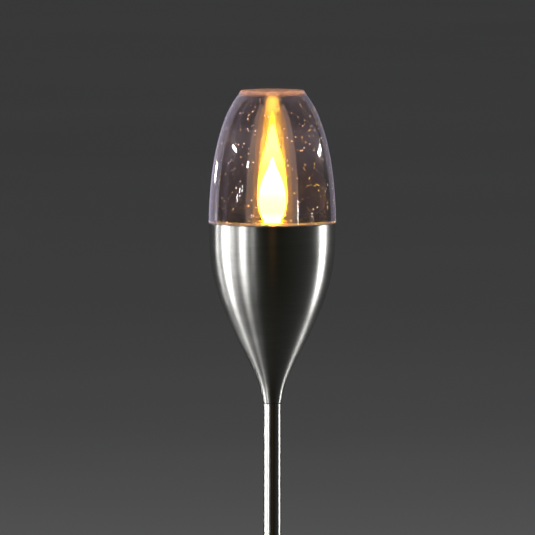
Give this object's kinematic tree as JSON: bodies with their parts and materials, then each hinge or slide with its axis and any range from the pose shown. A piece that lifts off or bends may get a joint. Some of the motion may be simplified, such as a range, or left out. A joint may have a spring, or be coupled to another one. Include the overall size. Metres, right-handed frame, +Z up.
{
  "type": "garden torch light",
  "caption": "Garden torch with an electric flame under a clear dome, in a tulip-shaped brushed steel cup on a thin push-together pole with a ground spike.",
  "frame": {"origin": "tip of the ground spike, on the torch's axis, the middle of the bounding box's bottom", "axes": "+Z up along the torch's axis; X and Y level, the switch knob slides along X"},
  "size_m": [0.0852, 0.0852, 0.8387],
  "materials": {
    "brushed_stainless": "satin, brushed around the axis",
    "clear_dome": "clear, faint violet grey tint, light dust",
    "clear_seal": "translucent silicone",
    "black_plastic": "fine moulded texture",
    "white_plastic": "moulded",
    "cell_blue": "polycrystalline cell with silver lines",
    "deck_gloss": "gloss, glass like cover",
    "flame_amber": "lit translucent amber",
    "flame_white": "lit warm white core",
    "board_green": "lacquered board",
    "chip_black": "moulded",
    "led_yellow": "phosphor",
    "coil_copper": "enamelled wire",
    "can_aluminium": "satin",
    "zinc_steel": "bright plated",
    "battery_wrap": "printed film",
    "wire_red": "insulation",
    "wire_black": "insulation"
  },
  "bodies": {
    "stake": {"ground_stake": "black_plastic"},
    "lower_pole": {"pole_lower": "brushed_stainless", "pole_coupler": "zinc_steel"},
    "upper_pole": {"pole_upper": "brushed_stainless"},
    "head": {"steel_cup": "brushed_stainless", "neck_socket": "black_plastic", "neck_bung": "white_plastic", "neck_screw": "zinc_steel"},
    "light_unit": {"housing": "black_plastic", "dome_gasket": "clear_seal", "deck_plate": "black_plastic", "solar_cells": "cell_blue", "deck_cover": "deck_gloss", "flame_diffuser": "flame_amber", "flame_core": "flame_white", "led_board": "board_green", "flame_leds": "led_yellow", "circuit_board": "board_green", "board_screws": "zinc_steel", "controller_chip": "chip_black", "capacitor": "can_aluminium", "boost_coil": "coil_copper", "battery_cradle": "black_plastic", "battery": "battery_wrap", "contact_spring": "zinc_steel", "contact_plate": "zinc_steel", "lead_red": "wire_red", "lead_black": "wire_black", "deck_leads": "wire_red", "base_cover": "black_plastic", "cover_screws": "zinc_steel", "switch_body": "zinc_steel"},
    "dome": {"dome": "clear_dome"},
    "switch_knob": {"switch_slider": "black_plastic"}
  },
  "joints": [
    {"name": "pole_lift", "type": "slide", "parent": "stake", "child": "lower_pole", "axis": [0, 0, 1], "range_m": [0, 0.06]},
    {"name": "upper_pole_lift", "type": "slide", "parent": "lower_pole", "child": "upper_pole", "axis": [0, 0, 1], "range_m": [0, 0.06]},
    {"name": "head_lift", "type": "slide", "parent": "upper_pole", "child": "head", "axis": [0, 0, 1], "range_m": [0, 0.1]},
    {"name": "light_unit_lift", "type": "slide", "parent": "head", "child": "light_unit", "axis": [0, 0, 1], "range_m": [0, 0.13]},
    {"name": "dome_lift", "type": "slide", "parent": "light_unit", "child": "dome", "axis": [0, 0, 1], "range_m": [0, 0.1]},
    {"name": "switch_slide", "type": "slide", "parent": "light_unit", "child": "switch_knob", "axis": [1, 0, 0], "range_m": [0, 0.002]}
  ]
}
